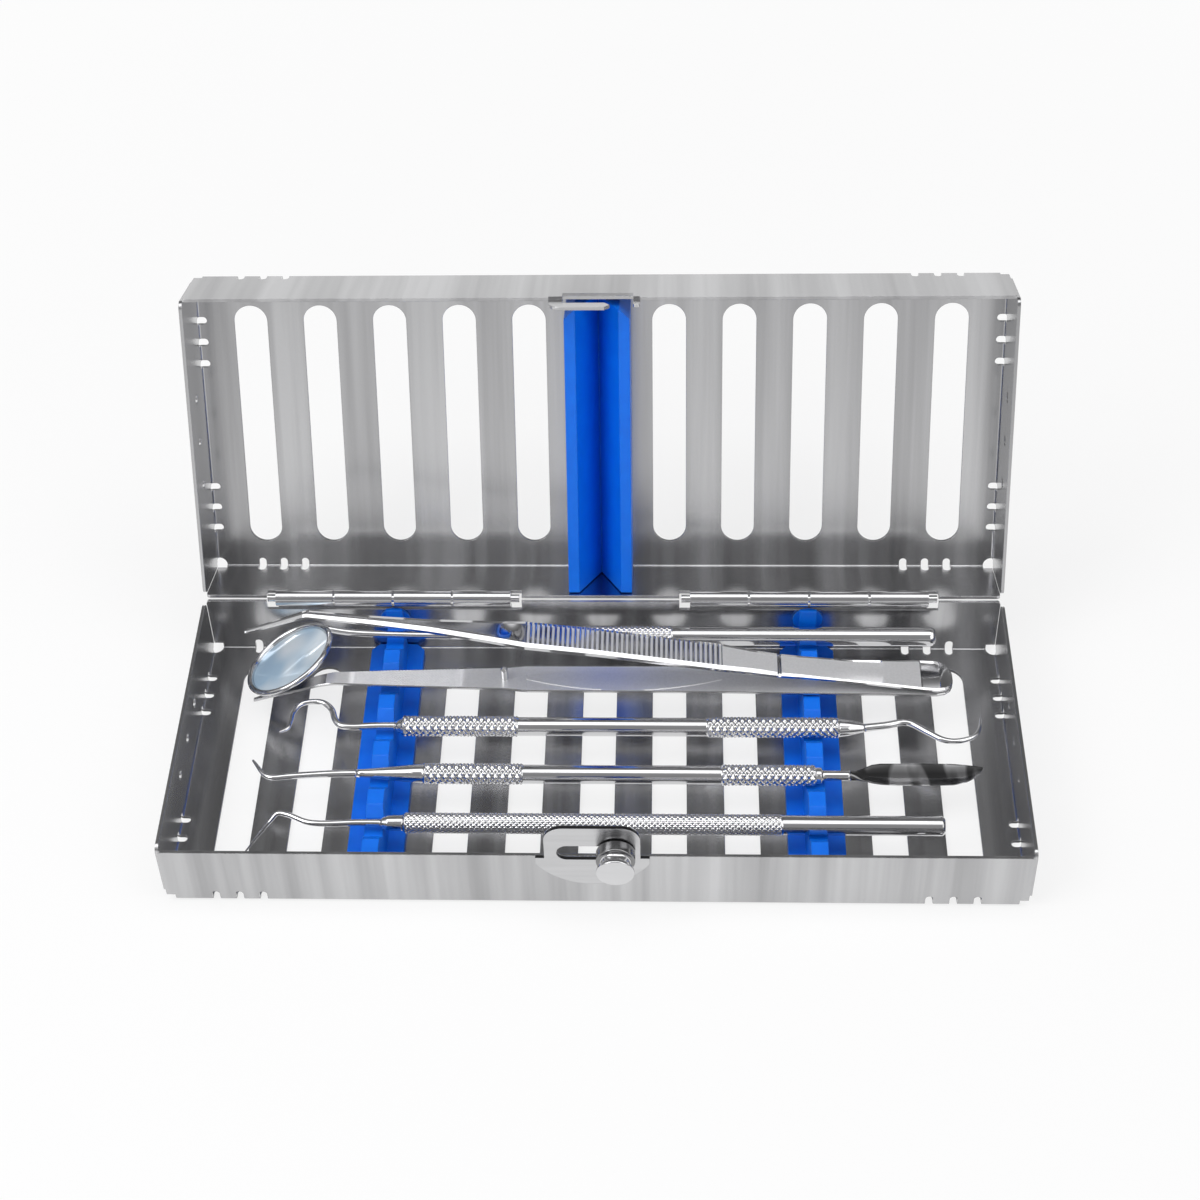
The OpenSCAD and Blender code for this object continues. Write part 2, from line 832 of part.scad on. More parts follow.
// The steel cup round the glass
module mirror_frame() {
    color(polished)
        at_mirror()
            rotate_extrude($fn = 64)
                polygon([
                    [0, -mirror_half_t],
                    [mirror_r - 1.4 * glass_inset, -mirror_half_t],
                    [mirror_r - 0.5 * glass_inset, -0.6 * mirror_half_t],
                    [mirror_r, 0.2 * mirror_half_t],
                    [mirror_r, 0.8 * mirror_half_t],
                    [mirror_r - 0.2 * glass_inset, 1.1 * mirror_half_t],
                    [mirror_r - 0.7 * glass_inset, 1.1 * mirror_half_t],
                    [mirror_r - glass_inset, 0.6 * mirror_half_t],
                    [mirror_r - glass_inset, glass_low],
                    [0, glass_low]]);
}

module mirror_glass() {
    color(glass_tint)
        at_mirror()
            translate([0, 0, glass_low])
                cylinder(r = mirror_r - glass_inset, h = glass_t, $fn = 64);
}

// An arm's outline from above, with the round butt
module arm_plan(half_plan, low, high) {
    plan = along(half_plan);
    last = len(plan) - 1;
    translate([0, tweezers_y, low])
        linear_extrude(high - low) {
            polygon(concat(
                [for (p = plan) [p[0], -p[1]]],
                [for (i = [last:-1:0]) plan[i]]));
            translate([reach * butt_x, 0])
                circle(butt_r);
        }
}

// Tools for the grip ribs, one groove at each place
module rib_tools(heights, side) {
    step = (rib_last_x - rib_first_x) / rib_count;
    for (i = [0:rib_count - 1]) {
        x = rib_first_x + (i + 0.5) * step;
        z = lookup(x, heights) + (side > 0 ? -rib_depth : rib_depth - cut);
        translate([x - rib_w / 2, tweezers_y - 2 * butt_r, z])
            cube([rib_w, 4 * butt_r, cut]);
    }
}

module tweezers_lower_arm() {
    low = [[-arm_span, arm_low], [arm_span, arm_low]];
    color(polished)
        difference() {
            intersection() {
                upright_plate(tweezers_y - 2 * butt_r, 4 * butt_r)
                    polygon(along(lower_arm_side));
                arm_plan(lower_half_plan, 0, 2 * row_z);
            }
            rib_tools(low, -1);
        }
}

module tweezers_upper_arm() {
    color(polished)
        difference() {
            intersection() {
                upright_plate(tweezers_y - 2 * butt_r, 4 * butt_r)
                    polygon(along(concat(upper_arm_top, upper_arm_under)));
                arm_plan(upper_half_plan, row_z, 4 * row_z);
            }
            rib_tools(along(upper_arm_top), 1);
        }
}

// The pin on the lower arm that keeps the arms in line
module tweezers_guide_pin() {
    color(polished)
        translate([guide_x, tweezers_y, arm_low + arm_t]) {
            cylinder(r = guide_r, h = guide_h);
            translate([0, 0, guide_h])
                cylinder(r1 = guide_r, r2 = guide_r / 3, h = guide_tip_h);
        }
}

module scaler_handle() {
    color(polished)
        handle(row_y, row_z, scaler_outline);
}

module scaler_hook_left() {
    color(polished)
        wire(scaler_left_wire, row_y);
}

module scaler_hook_right() {
    color(polished)
        wire(scaler_right_wire, row_y);
}

module carver_handle() {
    color(polished)
        handle(carver_y, row_z, carver_outline);
}

module carver_tip() {
    color(polished)
        wire(carver_wire, carver_y);
}

// A leaf-shaped blade, ground to a ridge on both faces
module carver_blade() {
    half = blade_w / 2;
    sweep = (blade_len * blade_len / 4 + half * half) / blade_w;
    color(polished)
        difference() {
            translate([reach * blade_start, carver_y, row_z])
                rotate([0, 0, blade_turn])
                    intersection() {
                        translate([blade_len / 2, half - sweep, -blade_t])
                            cylinder(r = sweep, h = 2 * blade_t, $fn = 200);
                        translate([blade_len / 2, sweep - half, -blade_t])
                            cylinder(r = sweep, h = 2 * blade_t, $fn = 200);
                        end_plate(-cut, blade_len + 2 * cut)
                            polygon([[-half - blade_edge, 0], [0, -blade_t / 2],
                                [half + blade_edge, 0], [0, blade_t / 2]]);
                    }
            translate([reach * blade_start - blade_len, carver_y - blade_w, row_z - blade_w])
                cube([blade_len, 2 * blade_w, 2 * blade_w]);
        }
}

module explorer_handle() {
    color(polished)
        handle(explorer_y, row_z, explorer_outline);
}

module explorer_collar() {
    color(polished)
        handle(explorer_y, row_z, collar_outline);
}

module explorer_shank() {
    color(polished)
        wire(explorer_wire, explorer_y);
}

base_tray();
lid_tray();
hinge_leaf_base_left();
hinge_leaf_base_right();
hinge_leaf_lid_left();
hinge_leaf_lid_right();
hinge_pin_left();
hinge_pin_right();
latch_plate();
latch_knob();
latch_knob_head();
lid_hook();
rail_left();
rail_right();
lid_rail();
mirror_handle();
mirror_shank();
mirror_frame();
mirror_glass();
tweezers_lower_arm();
tweezers_upper_arm();
tweezers_guide_pin();
scaler_handle();
scaler_hook_left();
scaler_hook_right();
carver_handle();
carver_tip();
carver_blade();
explorer_handle();
explorer_collar();
explorer_shank();
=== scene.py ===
"""An open steel instrument cassette with a mouth mirror, tweezers, scaler, carver and explorer.

Shapes are given in millimetres in the frame of the CAD model and are turned to metres when their
meshes are written. Lengths in materials, lamps and the camera's place are metres.
"""
import math

import bpy
import numpy as np
from mathutils import Matrix, Vector

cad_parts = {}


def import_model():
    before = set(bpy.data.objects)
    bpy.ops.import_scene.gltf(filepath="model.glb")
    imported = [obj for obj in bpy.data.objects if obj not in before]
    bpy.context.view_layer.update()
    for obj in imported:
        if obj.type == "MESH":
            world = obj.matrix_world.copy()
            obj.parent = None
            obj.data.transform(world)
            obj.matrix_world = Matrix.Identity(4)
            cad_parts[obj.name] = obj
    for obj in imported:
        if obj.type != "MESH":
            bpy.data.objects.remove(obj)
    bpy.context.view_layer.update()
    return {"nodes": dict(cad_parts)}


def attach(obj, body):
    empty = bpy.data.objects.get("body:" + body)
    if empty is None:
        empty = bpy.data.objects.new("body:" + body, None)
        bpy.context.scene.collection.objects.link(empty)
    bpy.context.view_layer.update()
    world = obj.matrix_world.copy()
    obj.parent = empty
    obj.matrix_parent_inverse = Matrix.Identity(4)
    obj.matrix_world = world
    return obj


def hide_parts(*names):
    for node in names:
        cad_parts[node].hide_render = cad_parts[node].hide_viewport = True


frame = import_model()
NODES = frame["nodes"]
MM = 0.001
CUT_REACH = 0.0008       # how far a slot's cut wall reaches in from its sheet's outer plane
# The slots' cut walls are painted this dark colour: painted shade, together with the darker rough
# cut of the steel.
CUT_WALL_PAINTED_SHADE = (0.09, 0.09, 0.095)
BEVEL_SAMPLES = 4
RELIEF_HEIGHT = 0.00002
LID_TILT = math.radians(-111)
LID_INWARD = (0.0, math.sin(LID_TILT), -math.cos(LID_TILT))
UPWARD = (0.0, 0.0, 1.0)
REARWARD = (0.0, 1.0, 0.0)


# Materials

def new_material(name):
    """An empty node material and its Principled shader."""
    mat = bpy.data.materials.new(name)
    mat.use_nodes = True
    tree = mat.node_tree
    return mat, tree, tree.nodes["Principled BSDF"]


def ramp_range(tree, source, low, high, start=0.0, end=1.0):
    """source mapped from start..end to low..high and held beyond both ends."""
    node = tree.nodes.new("ShaderNodeMapRange")
    for socket, value in (("From Min", start), ("From Max", end), ("To Min", low),
                          ("To Max", high)):
        node.inputs[socket].default_value = value
    tree.links.new(source, node.inputs["Value"])
    return node.outputs["Result"]


def stretched_noise(tree, stretch, scale, detail=3.0):
    """Noise in object coordinates, stretched by a factor along each axis."""
    coords = tree.nodes.new("ShaderNodeTexCoord")
    mapping = tree.nodes.new("ShaderNodeMapping")
    mapping.inputs["Scale"].default_value = stretch
    noise = tree.nodes.new("ShaderNodeTexNoise")
    noise.inputs["Scale"].default_value = scale
    noise.inputs["Detail"].default_value = detail
    tree.links.new(coords.outputs["Object"], mapping.inputs["Vector"])
    tree.links.new(mapping.outputs["Vector"], noise.inputs["Vector"])
    return noise.outputs["Fac"]


def math_node(tree, operation, first, second=None):
    """A Math node fed by sockets or plain numbers."""
    node = tree.nodes.new("ShaderNodeMath")
    node.operation = operation
    for socket, value in zip(node.inputs, (first, second)):
        if isinstance(value, (int, float)):
            socket.default_value = value
        elif value is not None:
            tree.links.new(value, socket)
    return node.outputs[0]


def mix_colour(tree, factor, first, second):
    """Two colours mixed by factor; each is a socket or plain red, green and blue."""
    node = tree.nodes.new("ShaderNodeMixRGB")
    for socket, value in zip(node.inputs, (factor, first, second)):
        if isinstance(value, tuple):
            socket.default_value = (*value, 1)
        elif isinstance(value, (int, float)):
            socket.default_value = value
        else:
            tree.links.new(value, socket)
    return node.outputs[0]


def rounded_normal(tree, radius):
    """The surface's normal with corners rounded in shading."""
    rounding = tree.nodes.new("ShaderNodeBevel")
    rounding.samples = BEVEL_SAMPLES
    rounding.inputs["Radius"].default_value = radius
    return rounding.outputs["Normal"]


def relief_normal(tree, height, strength, edge):
    """Fine relief from height, over corners rounded in shading where edge isn't 0."""
    relief = tree.nodes.new("ShaderNodeBump")
    relief.inputs["Strength"].default_value = strength
    relief.inputs["Distance"].default_value = RELIEF_HEIGHT
    tree.links.new(height, relief.inputs["Height"])
    if edge:
        tree.links.new(rounded_normal(tree, edge), relief.inputs["Normal"])
    return relief.outputs["Normal"]


def cut_wall_shade_mask(tree, inward, low):
    """1 on the cut walls of the slots in a flat sheet, where painted shade goes, 0 elsewhere.

    A cut wall lies within one sheet thickness of the sheet's outer plane and turns away from the
    sheet's normal: p . n < low + 0.8 mm and |N . n| < 0.5.
    """
    coords = tree.nodes.new("ShaderNodeTexCoord")
    dots = []
    for output in ("Object", "Normal"):
        node = tree.nodes.new("ShaderNodeVectorMath")
        node.operation = "DOT_PRODUCT"
        node.inputs[1].default_value = inward
        tree.links.new(coords.outputs[output], node.inputs[0])
        dots.append(node.outputs["Value"])
    near = math_node(tree, "LESS_THAN", dots[0], low + CUT_REACH)
    turned = math_node(tree, "LESS_THAN", math_node(tree, "ABSOLUTE", dots[1]), 0.5)
    return math_node(tree, "MULTIPLY", near, turned)


def steel(name, dark, light, rough, stretch, scale, bump, edge=0.0, cuts=None, metal=1.0,
          broad=0.0):
    """Bare steel: streaks of noise vary its colour from dark to light, its roughness and relief.

    rough is its least and greatest roughness; edge rounds its corners in shading; cuts is the
    inward normal and the offset of a slotted sheet's outer plane, whose slots' cut walls get
    painted shade; metal below 1 lets a blasted face scatter some light; broad is the scale of a
    second, wider noise that tints whole strips.
    """
    mat, tree, shader = new_material(name)
    shader.inputs["Metallic"].default_value = metal
    fac = stretched_noise(tree, stretch, scale)
    tone = fac
    if broad:
        both = math_node(tree, "ADD", fac, stretched_noise(tree, stretch, broad, 1.0))
        tone = ramp_range(tree, both, 0.0, 1.0, 0.75, 1.25)
    colour = mix_colour(tree, tone, dark, light)
    if cuts:
        # Painted shade: the slots' cut walls take the dark cut-wall colour, together with the
        # steel's rough cut.
        colour = mix_colour(tree, cut_wall_shade_mask(tree, *cuts), colour, CUT_WALL_PAINTED_SHADE)
    tree.links.new(colour, shader.inputs["Base Color"])
    tree.links.new(ramp_range(tree, fac, *rough), shader.inputs["Roughness"])
    tree.links.new(relief_normal(tree, fac, bump, edge), shader.inputs["Normal"])
    return mat


def grey(level):
    """A near-neutral steel colour, a trace bluer than grey."""
    return (level, level, level * 1.015)


def lowest(node, inward):
    """The least value of p . inward over a CAD node's corners."""
    points = np.empty(len(NODES[node].data.vertices) * 3, dtype=np.float32)
    NODES[node].data.vertices.foreach_get("co", points)
    return float((points.reshape(-1, 3) @ np.array(inward, dtype=np.float32)).min())


def tray_sheet(name, node, inward):
    """Brushed sheet for one tray, with painted shade darkening the cut walls of its slots."""
    return steel(name, grey(0.40), grey(0.62), (0.16, 0.28), (1, 0.03, 0.03), 200, 0.06,
                 edge=0.0002, cuts=(inward, lowest(node, inward)), broad=60)


BASE_SHEET = tray_sheet("base_sheet_steel", "base_tray", UPWARD)
LID_SHEET = tray_sheet("lid_sheet_steel", "lid_tray", LID_INWARD)
# The latch plate's slot walls get the same painted shade.
PLATE = steel("satin_plate", grey(0.52), grey(0.66), (0.20, 0.30), (0.05, 1, 1), 700, 0.1,
              edge=0.0002, cuts=(REARWARD, lowest("latch_plate", REARWARD)))
POLISHED = steel("polished_steel", grey(0.60), grey(0.70), (0.05, 0.12), (0.2, 1, 1), 500, 0.06,
                 edge=0.00012)
SATIN = steel("satin_steel", grey(0.50), grey(0.62), (0.14, 0.26), (0.06, 1, 1), 1500, 0.15,
              edge=0.00008)
BARREL = steel("barrel_steel", grey(0.55), grey(0.68), (0.10, 0.20), (0.05, 1, 1), 900, 0.1,
               edge=0.0001)
BLASTED = steel("blasted_steel", grey(0.72), grey(0.86), (0.30, 0.42), (1, 1, 1), 1800, 0.2,
                metal=0.65)
# Painted shade: steel darkened to stand for the dark reflection on the knob's flange.
FLANGE_SHADE_STEEL = steel("flange_painted_shade", grey(0.20), grey(0.30), (0.12, 0.22), (1, 1, 1), 600, 0.05,
                   edge=0.0001)
MIRROR_STEEL = steel("mirror_steel", grey(0.62), grey(0.68), (0.03, 0.06), (1, 1, 1), 300, 0.02)


def silicone():
    """Satin blue silicone with a faint mottle."""
    mat, tree, shader = new_material("blue_silicone")
    fac = stretched_noise(tree, (1, 1, 1), 250)
    colour = mix_colour(tree, fac, (0.0, 0.135, 0.72), (0.0, 0.18, 0.86))
    tree.links.new(colour, shader.inputs["Base Color"])
    shader.inputs["Specular IOR Level"].default_value = 0.4
    shader.inputs["Subsurface Weight"].default_value = 0.15
    shader.inputs["Subsurface Radius"].default_value = (0.0003, 0.0006, 0.002)
    shader.inputs["Subsurface Scale"].default_value = 1.0
    tree.links.new(ramp_range(tree, fac, 0.34, 0.46), shader.inputs["Roughness"])
    tree.links.new(relief_normal(tree, fac, 0.1, 0.0004), shader.inputs["Normal"])
    return mat


def mirror_glass():
    """A pale blue mirror, slightly misted; soft cloudy bands of blue and grey are a painted
    reflection.
    """
    mat, tree, shader = new_material("mirror_glass")
    fac = stretched_noise(tree, (1.0, 0.6, 1.0), 110, 1.0)
    # Painted reflection: noise bands of pale blue and grey laid into the mirror's colour.
    painted_reflection_bands = ramp_range(tree, fac, 0.0, 1.0, 0.35, 0.62)
    colour = mix_colour(tree, painted_reflection_bands, (0.46, 0.63, 0.80), (0.84, 0.92, 0.98))
    tree.links.new(colour, shader.inputs["Base Color"])
    shader.inputs["Metallic"].default_value = 0.35
    tree.links.new(ramp_range(tree, fac, 0.05, 0.14), shader.inputs["Roughness"])
    return mat


def hollow_ground():
    """Mirror-polished blade with a painted reflection: dark, pale patches like a studio seen in a
    hollow.
    """
    mat, tree, shader = new_material("hollow_ground_steel")
    fac = stretched_noise(tree, (1.0, 0.3, 1.0), 170, 1.0)
    # Painted reflection: pale patches in the dark blade's colour, like a studio seen in the
    # hollow.
    painted_reflection_patch = ramp_range(tree, fac, 0.0, 1.0, 0.50, 0.56)
    colour = mix_colour(tree, painted_reflection_patch, grey(0.17), grey(0.72))
    tree.links.new(colour, shader.inputs["Base Color"])
    shader.inputs["Metallic"].default_value = 1.0
    tree.links.new(ramp_range(tree, fac, 0.04, 0.10), shader.inputs["Roughness"])
    tree.links.new(rounded_normal(tree, 0.0003), shader.inputs["Normal"])
    return mat


SILICONE = silicone()
GLASS = mirror_glass()
BLADE = hollow_ground()


# Building surfaces

ROW_Z = 11.0             # height of the rails' rows, where the thin handles lie
WIRE_STEP, WIRE_AROUND = 0.25, 24
TIP_TURNS = (0.35, 0.7, 1.0, 1.25, 1.45)
CORNER = 0.12            # how far a turned corner is eased to either side
STUD_SOFTNESS, GROOVE_WIDTH, GRIP_FADE = 0.6, 0.75, 0.25


def surface(name, rings, material, smooth=True, inlay=None):
    """A closed skin through rings[i, j] (along, around); both ends are closed by a fan.

    With x growing along and the angle growing by the right-hand rule about x, normals point out.
    inlay is a second material and a mask of the quads [i, j] that wear it.
    """
    along, around, _ = rings.shape
    verts = rings.reshape(-1, 3)
    ends = np.array([rings[0].mean(0), rings[-1].mean(0)])
    verts = np.concatenate([verts, ends]) * MM
    i, j = np.meshgrid(np.arange(along - 1), np.arange(around), indexing="ij")
    k = (j + 1) % around
    quads = np.stack([i * around + j, i * around + k,
                      (i + 1) * around + k, (i + 1) * around + j], -1).reshape(-1, 4)
    a = np.arange(around)
    b = (a + 1) % around
    last = (along - 1) * around
    first_fan = np.stack([b, a, np.full(around, along * around)], -1)
    last_fan = np.stack([last + a, last + b, np.full(around, along * around + 1)], -1)
    tris = np.concatenate([first_fan, last_fan])
    obj = write_mesh(name, verts, quads, tris, material, smooth)
    if inlay:
        obj.data.materials.append(inlay[0])
        worn = np.zeros(len(obj.data.polygons), dtype=np.int32)
        worn[:len(quads)] = inlay[1].ravel()
        obj.data.polygons.foreach_set("material_index", worn)
    return obj


def write_mesh(name, verts, quads, tris, material, smooth):
    """A mesh object at the origin from arrays of vertices, quads and triangles."""
    mesh = bpy.data.meshes.new(name)
    mesh.vertices.add(len(verts))
    mesh.vertices.foreach_set("co", np.ascontiguousarray(verts, dtype=np.float32).ravel())
    loops = np.concatenate([quads.ravel(), tris.ravel()]).astype(np.int32)
    starts = np.concatenate([np.arange(len(quads)) * 4, len(quads) * 4 + np.arange(len(tris)) * 3])
    mesh.loops.add(len(loops))
    mesh.loops.foreach_set("vertex_index", loops)
    mesh.polygons.add(len(starts))
    mesh.polygons.foreach_set("loop_start", starts.astype(np.int32))
    mesh.polygons.foreach_set("use_smooth", np.full(len(starts), smooth, dtype=bool))
    mesh.update(calc_edges=True)
    mesh.validate()
    mesh.materials.append(material)
    obj = bpy.data.objects.new(name, mesh)
    bpy.context.scene.collection.objects.link(obj)
    return obj


def curve_points(path, step):
    """Points along a smooth curve through path rows of x, y, z, radius (centripetal Catmull-Rom).

    Between knots p1 and p2: the usual blend of p0..p3 with knot spacing |p(i+1) - p(i)| ** 0.5.
    """
    p = np.asarray(path, float)
    p = np.concatenate([[2 * p[0] - p[1]], p, [2 * p[-1] - p[-2]]])
    out = []
    for k in range(1, len(p) - 2):
        p0, p1, p2, p3 = p[k - 1:k + 3]
        t = np.cumsum([0] + [max(np.linalg.norm((b - a)[:3]), 1e-6) ** 0.5
                             for a, b in ((p0, p1), (p1, p2), (p2, p3))])
        n = max(2, int(np.linalg.norm((p2 - p1)[:3]) / step))
        s = np.linspace(t[1], t[2], n, endpoint=False)[:, None]
        a1 = (t[1] - s) / (t[1] - t[0]) * p0 + (s - t[0]) / (t[1] - t[0]) * p1
        a2 = (t[2] - s) / (t[2] - t[1]) * p1 + (s - t[1]) / (t[2] - t[1]) * p2
        a3 = (t[3] - s) / (t[3] - t[2]) * p2 + (s - t[2]) / (t[3] - t[2]) * p3
        b1 = (t[2] - s) / (t[2] - t[0]) * a1 + (s - t[0]) / (t[2] - t[0]) * a2
        b2 = (t[3] - s) / (t[3] - t[1]) * a2 + (s - t[1]) / (t[3] - t[1]) * a3
        out.append((t[2] - s) / (t[2] - t[1]) * b1 + (s - t[1]) / (t[2] - t[1]) * b2)
    out.append(p[-2][None])
    return np.concatenate(out)


def frames_along(points):
    """Tangent and two normals at each point, carried along without twisting."""
    tangent = np.gradient(points, axis=0)
    tangent /= np.linalg.norm(tangent, axis=1)[:, None]
    first = np.array([0, 0, 1.0]) if abs(tangent[0][2]) < 0.9 else np.array([0, 1.0, 0])
    normal = np.empty_like(points)
    normal[0] = first - tangent[0] * (first @ tangent[0])
    normal[0] /= np.linalg.norm(normal[0])
    for i in range(1, len(points)):
        n = normal[i - 1] - tangent[i] * (normal[i - 1] @ tangent[i])
        normal[i] = n / np.linalg.norm(n)
    return tangent, normal, np.cross(tangent, normal)


def around_once(count):
    """count angles evenly round a circle."""
    return np.linspace(0, 2 * np.pi, count, endpoint=False)


def wire(name, path, material):
    """A round wire: centre(s) + radius(s) (cos a N + sin a B), with a rounded tip."""
    pts = curve_points(path, WIRE_STEP)
    centre, radius = pts[:, :3], pts[:, 3]
    tangent, normal, binormal = frames_along(centre)
    angle = around_once(WIRE_AROUND)[None, :, None]
    rings = centre[:, None] + radius[:, None, None] * (np.cos(angle) * normal[:, None]
                                                       + np.sin(angle) * binormal[:, None])
    tip = []
    for turn in TIP_TURNS:
        shift = tangent[-1] * radius[-1] * math.sin(turn)
        tip.append(centre[-1] + (rings[-1] - centre[-1]) * math.cos(turn) + shift)
    return surface(name, np.concatenate([rings, np.array(tip)]), material)


def smooth_profile(outline):
    """(x, r) samples along an outline of corners: dense steps, corners eased over CORNER mm."""
    xs, rs = np.array(outline, float).T
    x = np.unique(np.concatenate([np.arange(xs[0], xs[-1], 1.0), xs,
                                  *[np.linspace(c - CORNER, c + CORNER, 7) for c in xs[1:-1]]]))
    x = x[(x >= xs[0]) & (x <= xs[-1])]
    r = np.interp(x, xs, rs)
    ease = np.array([np.interp(np.linspace(v - CORNER, v + CORNER, 5), xs, rs).mean() for v in x])
    inner = (x > xs[0] + CORNER) & (x < xs[-1] - CORNER)
    return x, np.where(inner, ease, r)


def grip_depth(x, angle, zone):
    """Depth of the cut at (x, angle) in one grip zone, fading out at both ends of the zone.

    zone is start, end, depth, pitch p along x, count n around and kind. With
    u, v = n a / 2 +- pi x / p: studs keep (|cos u| |cos v|) ** 0.6 of the height; diamonds are
    cut along the lines sin u = 0 and sin v = 0 with V grooves max(0, 1 - |sin| / 0.75).
    """
    start, end, depth, pitch, count, kind = zone
    u = count * angle / 2 + np.pi * x / pitch
    v = count * angle / 2 - np.pi * x / pitch
    if kind == "studs":
        cut = 1 - (np.abs(np.cos(u)) * np.abs(np.cos(v))) ** STUD_SOFTNESS
    else:
        nearest = np.minimum(np.abs(np.sin(u)), np.abs(np.sin(v)))
        cut = np.clip(1 - nearest / GROOVE_WIDTH, 0, 1)
    fade = np.clip(np.minimum(x - start, end - x) / GRIP_FADE, 0, 1)
    return depth * cut * fade


def handle(name, y, outline, zones, around, z=ROW_Z):
    """A turned handle along X: r(x) from the outline less the grip zones' depth(x, angle)."""
    xs, rs = smooth_profile(outline)
    dense = [np.arange(start, end, pitch / 8) for start, end, _, pitch, _, _ in zones]
    x = np.unique(np.round(np.concatenate([xs, *dense]), 4))
    gx, ga = np.meshgrid(x, around_once(around), indexing="ij")
    radius = np.interp(gx, xs, rs) - sum(grip_depth(gx, ga, zone) for zone in zones)
    rings = np.stack([gx, y + radius * np.cos(ga), z + radius * np.sin(ga)], -1)
    return surface(name, rings, POLISHED)


def lathe(name, profile, place, material, around=128, low_part=None):
    """A turned piece about local Z: profile rows of (r, z) given from the top down; place is 4x4.

    low_part is a material and the height below which the piece wears it.
    """
    angle = around_once(around)
    r, h = np.array(profile, float).T
    rings = np.stack([r[:, None] * np.cos(angle), r[:, None] * np.sin(angle),
                      np.repeat(h[:, None], around, 1)], -1)
    rings = rings @ np.array(place)[:3, :3].T + np.array(place)[:3, 3]
    inlay = None
    if low_part:
        below = ((h[1:] + h[:-1]) / 2 < low_part[1])[::-1]
        inlay = (low_part[0], np.repeat(below[:, None], around, 1))
    return surface(name, rings[::-1], material, inlay=inlay)


# The five instruments

def put(obj, body, slot, *nodes):
    """obj rides on a body in place of CAD nodes; slot is not used."""
    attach(obj, body)
    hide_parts(*nodes)
    return obj


MIRROR_Y, MIRROR_Z = 34.0, 11.2
TWEEZERS_Y = 18.1
SCALER_Y, CARVER_Y, EXPLORER_Y = 4.2, -10.7, -25.6
STEEL_SLOT = "polished_steel"
# Depth, pitch along, number around and kind of each grip's cuts, and its facets around
STUDS, STUD_FACETS = (0.55, 1.72, 7, "studs"), 126
COARSE_KNURL, FINE_KNURL, KNURL_FACETS = (
    (0.26, 1.35, 14, "diamonds"), (0.22, 1.35, 14, "diamonds"), 140)

put(handle("mirror_grip", MIRROR_Y,
           [(-28, 1.15), (-27.4, 1.3), (-20.4, 2.4), (-19.6, 2.5), (-18.1, 2.5), (-17.8, 2.65),
            (18.0, 2.65), (18.3, 2.5), (82.9, 2.5), (83.7, 2.3), (84.3, 1.8), (84.7, 0.6)],
           [(-17.6, 18.0, *COARSE_KNURL)], KNURL_FACETS, MIRROR_Z),
    "mirror", STEEL_SLOT, "mirror_handle")
put(handle("scaler_grips", SCALER_Y,
           [(-49.8, 1.0), (-48.2, 2.0), (-47.6, 2.6), (-19.9, 2.6), (-19.4, 2.3), (26.6, 2.3),
            (27.0, 2.6), (58.4, 2.6), (58.8, 2.3), (61, 2.0), (64.4, 1.15), (65, 1.0)],
           [(-47.5, -19.8, *STUDS), (27.0, 58.4, *STUDS)], STUD_FACETS),
    "scaler", STEEL_SLOT, "scaler_handle")
put(handle("carver_grips", CARVER_Y,
           [(-57.9, 0.95), (-56, 1.05), (-44, 2.2), (-41.6, 2.35), (-41.2, 2.6), (-18.0, 2.6),
            (-17.6, 2.3), (30.0, 2.3), (30.3, 2.6), (52.2, 2.6), (52.5, 2.0), (53.8, 2.0),
            (54.1, 1.3), (60.6, 1.2)],
           [(-41.2, -17.9, *STUDS), (30.2, 52.3, *STUDS)], STUD_FACETS),
    "carver", STEEL_SLOT, "carver_handle")
put(handle("explorer_grip", EXPLORER_Y,
           [(-45.3, 2.0), (-44.8, 2.45), (43.8, 2.5), (44.1, 2.35), (81.3, 2.35), (81.9, 1.85)],
           [(-44.8, 43.9, *FINE_KNURL)], KNURL_FACETS),
    "explorer", STEEL_SLOT, "explorer_handle")
put(handle("explorer_ferrule", EXPLORER_Y,
           [(-50.7, 0.9), (-50.2, 1.3), (-49, 1.75), (-46.6, 1.9), (-45.3, 1.9)], [], 64),
    "explorer", STEEL_SLOT, "explorer_collar")

# Each wire's path, as rows of x, y, z and radius
MIRROR_WIRE = [[-28, 34, 11.2, 1.15], [-34, 34, 11.25, 1.05], [-50, 33.9, 11.6, 0.95],
               [-64, 33.9, 12.5, 0.9], [-69.6, 34.1, 13.6, 0.9]]
SCALER_LEFT = [[-49.8, 4.2, 11, 1.0], [-55, 4.15, 11, 0.92], [-61, 3.9, 11, 0.85],
               [-63.4, 4.4, 11, 0.82], [-64.8, 6.2, 11, 0.8], [-66.0, 9.4, 11, 0.76],
               [-68.2, 11.5, 11, 0.73], [-71, 11.9, 11, 0.7], [-73.8, 11.1, 11, 0.66],
               [-75.3, 8.8, 11, 0.62], [-75.7, 5.6, 11, 0.56], [-76.2, 3.3, 11, 0.48],
               [-77.9, 2.1, 11, 0.3]]
SCALER_RIGHT = [[65, 4.2, 11, 1.0], [70, 5.0, 11, 0.92], [74.4, 6.0, 11, 0.86],
                [76.2, 5.7, 11, 0.83], [80, 3.0, 11, 0.78], [83.6, 0.6, 11, 0.74],
                [86, 0.1, 11, 0.7], [89, 0.6, 11, 0.66], [91.6, 2.0, 11, 0.55],
                [92.8, 4.4, 11, 0.42], [93.3, 7.6, 11, 0.26]]
CARVER_LEFT = [[-57.9, -10.7, 11, 0.95], [-64, -10.9, 11, 0.88], [-74, -11.7, 11, 0.78],
               [-78.3, -12.1, 11, 0.72], [-80, -11.4, 11, 0.62], [-83.4, -7, 11, 0.3]]
